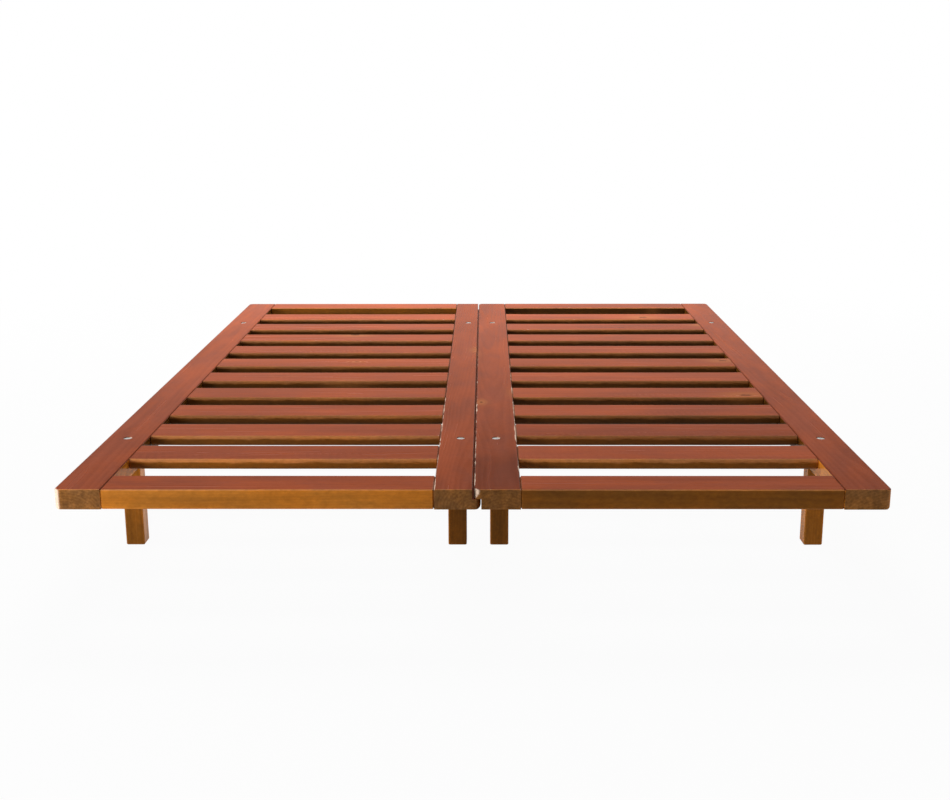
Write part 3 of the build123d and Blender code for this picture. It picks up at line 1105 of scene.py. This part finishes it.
class BED_OT_make_slats(bpy.types.Operator):
    """Make the slats of both halves, with rounded edges and a figure of their own"""

    bl_idname = "bed.make_slats"
    bl_label = "Make Slats"

    # The long edges are in painted shade below, and take a thin coat with painted light from just over the
    # middle of their height.
    # Both tones fall off as painted shade between the foremost slats and the rest, over this stretch of the
    # bed.
    EDGE_SHADE_TONES = (0.85, 0.33)
    THIN_TONES_SHADED = (1.15, 0.58)
    SHADE_FALL_OFF = (-0.80, -0.46)
    THIN_AND_LIT_FROM = 0.1
    WEAR = 0.3

    def execute(self, context):
        settings = context.scene.bed_slats
        for number, half in enumerate(HALVES):
            nodes = [f"{half}_slat_{row:02d}" for row in range(1, SLATS_PER_HALF + 1)]
            low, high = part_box(nodes[0])
            half_size = Vector((clear_width(half), high.y - low.y, high.z - low.z)) / 2
            material = self.slat_timber(half, half_size)
            seed = settings.seed + number
            replace_boards(f"{half}_slats", half, nodes, settings, material, seed)
        return {"FINISHED"}

    def slat_timber(self, half, half_size):
        """The timber of one row of slats, which takes its place on the board from the mesh."""
        material, graph, shader = new_material(f"{half}_slat_timber")
        place = graph.node("ShaderNodeAttribute", attribute_name="board_position").outputs["Vector"]
        seed = graph.node("ShaderNodeAttribute", attribute_name="board_seed").outputs["Fac"]
        spread = bpy.context.scene.bed_timber.tone_spread / 2
        tone = graph.span(graph.chance(seed, "Value"), 0, 1, 1 - spread, 1 + spread, smooth=False)
        along_bed = graph.split(graph.node("ShaderNodeTexCoord").outputs["Object"])[1]
        # Painted shade: the long edges darken from the foremost slats towards the rest
        shaded_edge_tone = graph.math("MULTIPLY", tone, graph.span(along_bed, *self.SHADE_FALL_OFF, *self.EDGE_SHADE_TONES))
        thin_tone = graph.math("MULTIPLY", tone, graph.span(along_bed, *self.SHADE_FALL_OFF, *self.THIN_TONES_SHADED))
        tones = (tone, shaded_edge_tone, thin_tone)
        coat_timber(
            graph, shader, place, seed, tones, ACROSS, half_size, self.WEAR, thin_from=self.THIN_AND_LIT_FROM
        )
        return material


class BED_OT_make_bolts(bpy.types.Operator):
    """Make the leg bolts of both halves"""

    bl_idname = "bed.make_bolts"
    bl_label = "Make Bolts"

    def execute(self, context):
        settings = context.scene.bed_bolts
        tree = bolt_tree()
        material = plated_steel("bright_plate", settings)
        for number, half in enumerate(HALVES):
            node = f"{half}_leg_bolts"
            low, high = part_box(node)
            head = settings.head_diameter
            seat = high.z - settings.head_height
            bolts = run_tree(f"{half}_bolts", tree, {
                "Middle": Vector(((low.x + high.x) / 2, (low.y + high.y) / 2, seat)),
                "Columns Apart": high.x - low.x - head,
                "Rows Apart": high.y - low.y - head,
                "Head Diameter": head,
                "Rim Height": settings.rim_height,
                "Head Height": settings.head_height,
                "Shank Diameter": settings.shank_diameter,
                "Shank Length": seat - low.z,
                "Socket Width": settings.socket_width,
                "Socket Depth": settings.socket_depth,
                "Seed": settings.seed + number,
                "Material": material,
            })
            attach(bolts, f"{half}_half")
            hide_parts(node)
        return {"FINISHED"}


class BED_OT_finish_inserts(bpy.types.Operator):
    """Plate the threaded inserts in the legs"""

    bl_idname = "bed.finish_inserts"
    bl_label = "Finish Inserts"

    def execute(self, context):
        material = plated_steel("dull_zinc", context.scene.bed_inserts)
        for half in HALVES:
            coat_node(f"{half}_leg_inserts", material)
        return {"FINISHED"}


class BED_OT_set_stage(bpy.types.Operator):
    """Lay the floor, hang the lamps and set up the camera"""

    bl_idname = "bed.set_stage"
    bl_label = "Set Stage"

    # The camera stands in front of the foot end and looks slightly down on it
    CAMERA_PLACE = Vector((0.0240, -3.2013, 0.9327))
    CAMERA_PITCH = math.radians(13.839)
    CAMERA_YAW = math.radians(-0.464)
    CAMERA_ROLL = math.radians(-0.126)
    CAMERA_LENS = 48.80
    SENSOR_WIDTH = 36.0

    # Of each lamp: where it hangs, what it looks at, and its two sides
    LAMPS = {
        "key": ((-1.0, -1.6, 3.4), (-0.1, -0.3, 0.2), (1.8, 1.2)),
        "back": ((-0.3, 2.3, 2.7), (0.0, 0.3, 0.2), (1.6, 1.0)),
        "left": ((-2.2, -2.2, 0.5), (-0.1, -0.9, 0.12), (1.4, 0.8)),
        "right": ((2.4, -1.4, 0.10), (-0.3, -0.8, 0.08), (0.8, 0.14)),
    }

    # Distances from the middle of the bed between which the shadow on the floor fades out
    SHADOW_FADE = (1.3, 3.2)

    # In reflections the floor is dimmer by this share. The backdrop has a pale ring over the
    # horizon there that fades out upwards, and it turns white towards the top, over these parts
    # of the way up.
    FLOOR_DIMMING = 0.5
    RING_LEVEL = 0.62
    RING_FADE = (0.0, 0.33)
    TOP_FADE = (0.40, 0.58)

    def execute(self, context):
        stage = context.scene.bed_stage
        context.scene.view_settings.view_transform = "Standard"
        self.lay_floor(stage)
        self.light_world(context.scene, stage.fill)
        for name, (place, target, sides) in self.LAMPS.items():
            self.hang_lamp(f"{name}_lamp", getattr(stage, name), place, target, sides)
        self.place_camera(context.scene)
        return {"FINISHED"}

    def lay_floor(self, stage):
        """A pale floor: white to the camera, apart from a share of its real shadow."""
        half = stage.floor_size / 2
        mesh = bpy.data.meshes.new("floor")
        corners = [(-half, -half, 0), (half, -half, 0), (half, half, 0), (-half, half, 0)]
        mesh.from_pydata(corners, [], [(0, 1, 2, 3)])
        material = bpy.data.materials.new("floor_paint")
        material.use_nodes = True
        material.node_tree.nodes.clear()
        graph = Graph(material.node_tree)
        paint = graph.node("ShaderNodeBsdfDiffuse", {"Color": opaque(stage.floor_colour)}).outputs[0]
        glossy = graph.node("ShaderNodeLightPath").outputs["Is Glossy Ray"]
        level = graph.math("MULTIPLY_ADD", glossy, -self.FLOOR_DIMMING, 1.0)
        white = graph.node("ShaderNodeEmission", {"Strength": level}).outputs[0]
        away = graph.size(graph.node("ShaderNodeTexCoord").outputs["Object"])
        shadow = graph.span(away, *self.SHADOW_FADE, stage.shadow, 0)
        cover = graph.math("MULTIPLY", self.seen_directly(graph), graph.math("SUBTRACT", 1.0, shadow))
        surface = graph.node("ShaderNodeMixShader", {0: cover, 1: paint, 2: white}).outputs[0]
        graph.node("ShaderNodeOutputMaterial", {"Surface": surface})
        mesh.materials.append(material)
        link_new("floor", mesh)

    def seen_directly(self, graph):
        """One for what is looked at, also in a reflection or through glass, and nought for light."""
        path = graph.node("ShaderNodeLightPath").outputs
        seen = graph.math("MAXIMUM", path["Is Camera Ray"], path["Is Glossy Ray"])
        return graph.math("MAXIMUM", seen, path["Is Transmission Ray"])

    def light_world(self, scene, fill):
        """A backdrop that is white to the camera and darker in reflections, and an even fill."""
        world = bpy.data.worlds.new("studio")
        world.use_nodes = True
        world.node_tree.nodes.clear()
        graph = Graph(world.node_tree)
        white = opaque((1, 1, 1))
        up = graph.split(graph.node("ShaderNodeTexCoord").outputs["Generated"])[2]
        camera = graph.node("ShaderNodeLightPath").outputs["Is Camera Ray"]
        ring = graph.span(up, *self.RING_FADE, self.RING_LEVEL, 0.0, smooth=False)
        reflected = graph.math("MAXIMUM", ring, graph.span(up, *self.TOP_FADE))
        level = graph.math("MAXIMUM", camera, reflected)
        backdrop = graph.node("ShaderNodeBackground", {"Color": white, "Strength": level}).outputs[0]
        even = graph.node("ShaderNodeBackground", {"Color": white, "Strength": fill}).outputs[0]
        seen = self.seen_directly(graph)
        surface = graph.node("ShaderNodeMixShader", {0: seen, 1: even, 2: backdrop}).outputs[0]
        graph.node("ShaderNodeOutputWorld", {"Surface": surface})
        scene.world = world

    def hang_lamp(self, name, watts, place, target, sides):
        """A soft rectangular lamp that looks at a point, and leaves no glare on the boards."""
        light = bpy.data.lights.new(name, "AREA")
        light.shape = "RECTANGLE"
        light.size, light.size_y = sides
        light.energy = watts
        lamp = link_new(name, light)
        lamp.location = place
        lamp.rotation_euler = (Vector(target) - Vector(place)).to_track_quat("-Z", "Y").to_euler()
        lamp.visible_glossy = False

    def place_camera(self, scene):
        """The camera at the photograph's angle."""
        forward = Vector((
            math.sin(self.CAMERA_YAW) * math.cos(self.CAMERA_PITCH),
            math.cos(self.CAMERA_YAW) * math.cos(self.CAMERA_PITCH),
            -math.sin(self.CAMERA_PITCH),
        ))
        right = Vector((math.cos(self.CAMERA_YAW), -math.sin(self.CAMERA_YAW), 0))
        up = right.cross(forward)
        turned_right = math.cos(self.CAMERA_ROLL) * right + math.sin(self.CAMERA_ROLL) * up
        turned_up = math.cos(self.CAMERA_ROLL) * up - math.sin(self.CAMERA_ROLL) * right
        data = bpy.data.cameras.new("camera")
        data.sensor_width = self.SENSOR_WIDTH
        data.sensor_fit = "HORIZONTAL"
        data.lens = self.CAMERA_LENS
        camera = link_new("camera", data)
        axes = Matrix((turned_right, turned_up, -forward)).transposed().to_4x4()
        camera.matrix_world = Matrix.Translation(self.CAMERA_PLACE) @ axes
        scene.camera = camera


class BED_PT_frame(bpy.types.Panel):
    """Everything that makes up the bed frame's finish"""

    bl_idname = "BED_PT_frame"
    bl_label = "Bed Frame"
    bl_space_type = "VIEW_3D"
    bl_region_type = "UI"
    bl_category = "Bed Frame"

    def draw(self, context):
        for name in SETTINGS:
            box = self.layout.box()
            box.label(text=name.removeprefix("bed_").title())
            settings = getattr(context.scene, name)
            for setting in settings.__annotations__:
                box.prop(settings, setting)
        for operator in OPERATORS:
            self.layout.operator(operator.bl_idname)


SETTINGS = {
    "bed_timber": BedTimberSettings,
    "bed_slats": BedSlatSettings,
    "bed_rails": BedRailSettings,
    "bed_bolts": BedBoltSettings,
    "bed_inserts": BedInsertSettings,
    "bed_stage": BedStageSettings,
}
OPERATORS = (
    BED_OT_finish_stiles,
    BED_OT_make_rails,
    BED_OT_finish_legs,
    BED_OT_make_slats,
    BED_OT_make_bolts,
    BED_OT_finish_inserts,
    BED_OT_set_stage,
)


def register():
    for name, settings in SETTINGS.items():
        bpy.utils.register_class(settings)
        setattr(bpy.types.Scene, name, PointerProperty(type=settings))
    for shown in (*OPERATORS, BED_PT_frame):
        bpy.utils.register_class(shown)


def unregister():
    for shown in (BED_PT_frame, *reversed(OPERATORS)):
        bpy.utils.unregister_class(shown)
    for name, settings in reversed(SETTINGS.items()):
        delattr(bpy.types.Scene, name)
        bpy.utils.unregister_class(settings)


def main():
    register()
    bpy.ops.bed.finish_stiles()
    bpy.ops.bed.make_rails()
    bpy.ops.bed.finish_legs()
    bpy.ops.bed.make_slats()
    bpy.ops.bed.make_bolts()
    bpy.ops.bed.finish_inserts()
    bpy.ops.bed.set_stage()


if __name__ == "__main__":
    main()
